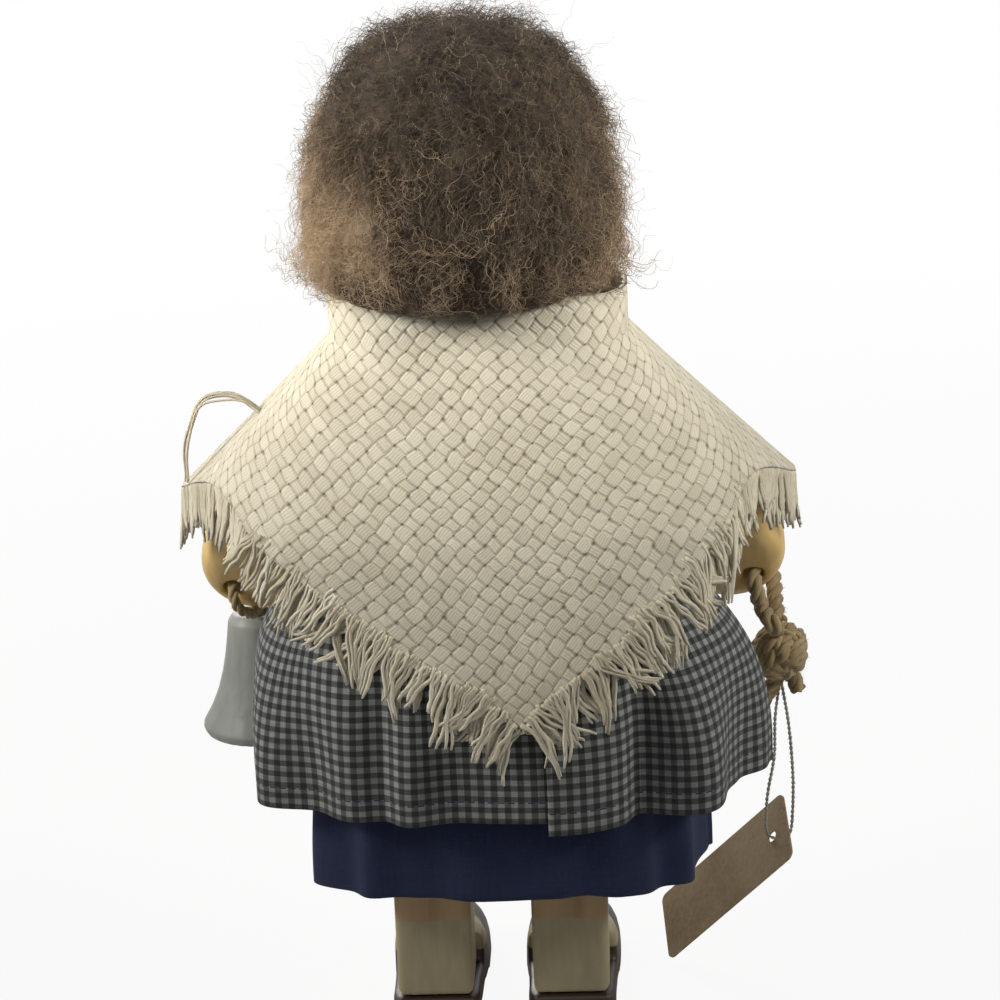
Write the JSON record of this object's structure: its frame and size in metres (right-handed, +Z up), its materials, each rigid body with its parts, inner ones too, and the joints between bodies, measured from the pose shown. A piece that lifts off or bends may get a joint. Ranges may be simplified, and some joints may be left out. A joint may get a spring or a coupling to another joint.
{
  "type": "wooden doll",
  "caption": "Jointed wooden folk doll with wool hair, a checked dress over an underskirt, a fringed shawl, a bell hung from one hand and a knotted rope with a blank tag on the other.",
  "frame": {"origin": "floor point under the middle of the doll's box, without the things that hang on cords", "axes": "+Z up; the doll faces -Y, so its own left hand is at +X; +Y is the back that the picture shows"},
  "size_m": [0.155, 0.0935, 0.2514],
  "materials": {
    "wood": "bare sanded wood with thin cream sock paint on the lower legs",
    "skin_paint": "tan painted wood, semi-gloss",
    "shoe_paint": "dark brown painted wood",
    "bell_paint": "grey painted wood, worn matte",
    "gingham": "black and grey small-check cotton",
    "navy_cotton": "plain navy cotton",
    "shawl_yarn": "ecru basket-weave cloth with cut fringes",
    "wool": "dark grey-brown curly wool",
    "jute": "twisted jute",
    "card": "tan paper board, blank",
    "cotton_string": "thin twisted cotton string"
  },
  "bodies": {
    "torso": {"torso_block": "wood", "neck_dowel": "wood", "head_block": "skin_paint", "hair_wig": "wool", "left_shoulder_peg": "wood", "right_shoulder_peg": "wood", "dress_bodice": "gingham", "dress_skirt": "gingham", "underskirt": "navy_cotton", "shawl": "shawl_yarn"},
    "legs": {"hip_dowel": "wood", "left_leg": "wood", "left_shoe": "shoe_paint", "left_ankle_dowel": "wood", "right_leg": "wood", "right_shoe": "shoe_paint", "right_ankle_dowel": "wood"},
    "left_arm": {"left_arm": "skin_paint", "left_sleeve": "gingham"},
    "right_arm": {"right_arm": "skin_paint", "right_sleeve": "gingham"},
    "bell_loop": {"bell_cord": "jute"},
    "bell": {"bell_shell": "bell_paint", "bell_stop_knot": "jute"},
    "rope": {"rope_loop": "jute", "rope_knot": "jute"},
    "tag": {"tag_card": "card", "tag_string": "cotton_string"}
  },
  "joints": [
    {"name": "left_shoulder", "type": "hinge", "parent": "torso", "child": "left_arm", "pos_m": [0.0205, 0.002, 0.167], "axis": [-1, 0, 0], "range_deg": [0, 45], "deforming": ["shawl", "bell_cord"]},
    {"name": "right_shoulder", "type": "hinge", "parent": "torso", "child": "right_arm", "pos_m": [-0.0205, 0.002, 0.167], "axis": [-1, 0, 0], "range_deg": [0, 45], "deforming": ["shawl", "rope_loop"]},
    {"name": "hip_fold", "type": "hinge", "parent": "torso", "child": "legs", "pos_m": [0, 0, 0.074], "axis": [-1, 0, 0], "range_deg": [-12, 80], "deforming": ["underskirt", "dress_skirt"]},
    {"name": "bell_hang", "type": "hinge", "parent": "left_arm", "child": "bell_loop", "pos_m": [0.065, -0.0265, 0.1086], "axis": [-1, 0, 0], "range_deg": [-45, 0], "deforming": ["bell_cord"]},
    {"name": "bell_swing", "type": "hinge", "parent": "bell_loop", "child": "bell", "pos_m": [0.061, -0.0315, 0.0955], "axis": [0, -1, 0], "range_deg": [0, 30], "deforming": ["bell_cord"]},
    {"name": "rope_hang", "type": "hinge", "parent": "right_arm", "child": "rope", "pos_m": [-0.065, -0.0265, 0.1086], "axis": [-1, 0, 0], "range_deg": [-45, 0], "deforming": ["rope_loop"]},
    {"name": "tag_swing", "type": "hinge", "parent": "rope", "child": "tag", "pos_m": [-0.0712, -0.0216, 0.0772], "axis": [-1, 0, 0], "range_deg": [0, 60]}
  ],
  "couplings": [
    {"joint": "bell_hang", "follows": "left_shoulder", "ratio": -1},
    {"joint": "rope_hang", "follows": "right_shoulder", "ratio": -1}
  ]
}
